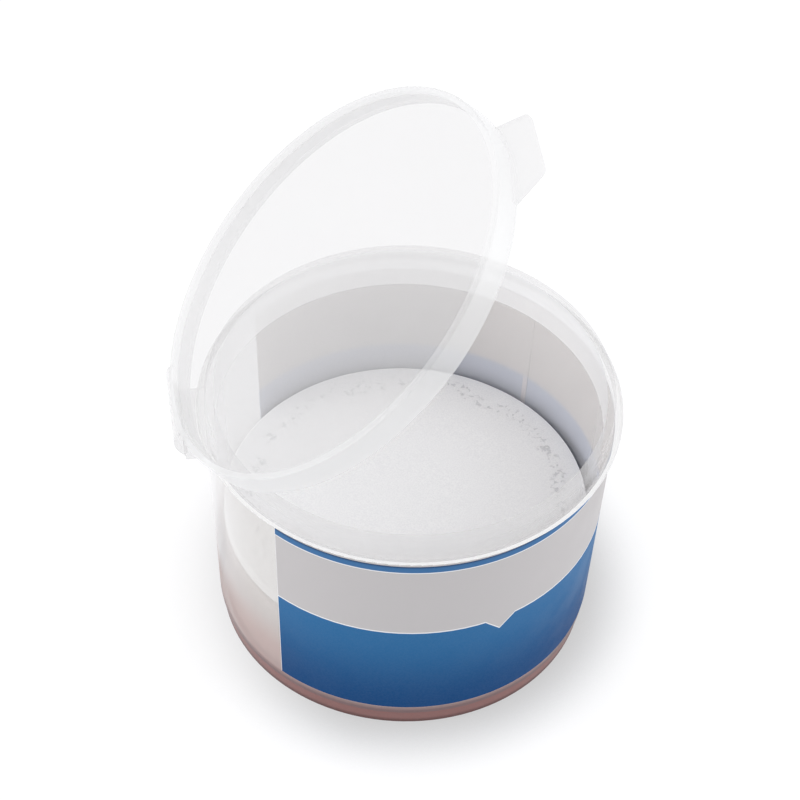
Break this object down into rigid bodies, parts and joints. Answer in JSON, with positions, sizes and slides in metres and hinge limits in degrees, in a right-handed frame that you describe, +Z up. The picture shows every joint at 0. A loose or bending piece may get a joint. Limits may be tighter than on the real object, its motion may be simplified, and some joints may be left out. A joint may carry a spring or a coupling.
{
  "type": "hearing aid dryer",
  "caption": "Round translucent tub with a snap lid on a living hinge, holding desiccant beads under a soft white pad, with a two-part wrapped label.",
  "frame": {"origin": "centre of the tub's underside, on the table", "axes": "+Z up along the tub's axis, the hinge on the -X side, the lid's pull tab on the +X side"},
  "size_m": [0.082, 0.0772, 0.1099],
  "materials": {
    "frosted_plastic": "satin",
    "label_print": "satin",
    "desiccant": "satin",
    "pad_fabric": "matte"
  },
  "bodies": {
    "tub_body": {"tub": "frosted_plastic", "living_hinge": "frosted_plastic", "front_label": "label_print", "back_label": "label_print", "desiccant_beads": "desiccant"},
    "lid_body": {"lid": "frosted_plastic"},
    "pad_body": {"pad": "pad_fabric"}
  },
  "joints": [
    {"name": "lid_hinge", "type": "hinge", "parent": "tub_body", "child": "lid_body", "pos_m": [-0.0414, 0, 0.0491], "axis": [0, -1, 0], "range_deg": [-43.5, 136.5]},
    {"name": "pad_lift", "type": "slide", "parent": "tub_body", "child": "pad_body", "axis": [0, 0, 1], "range_m": [0, 0.028]}
  ]
}
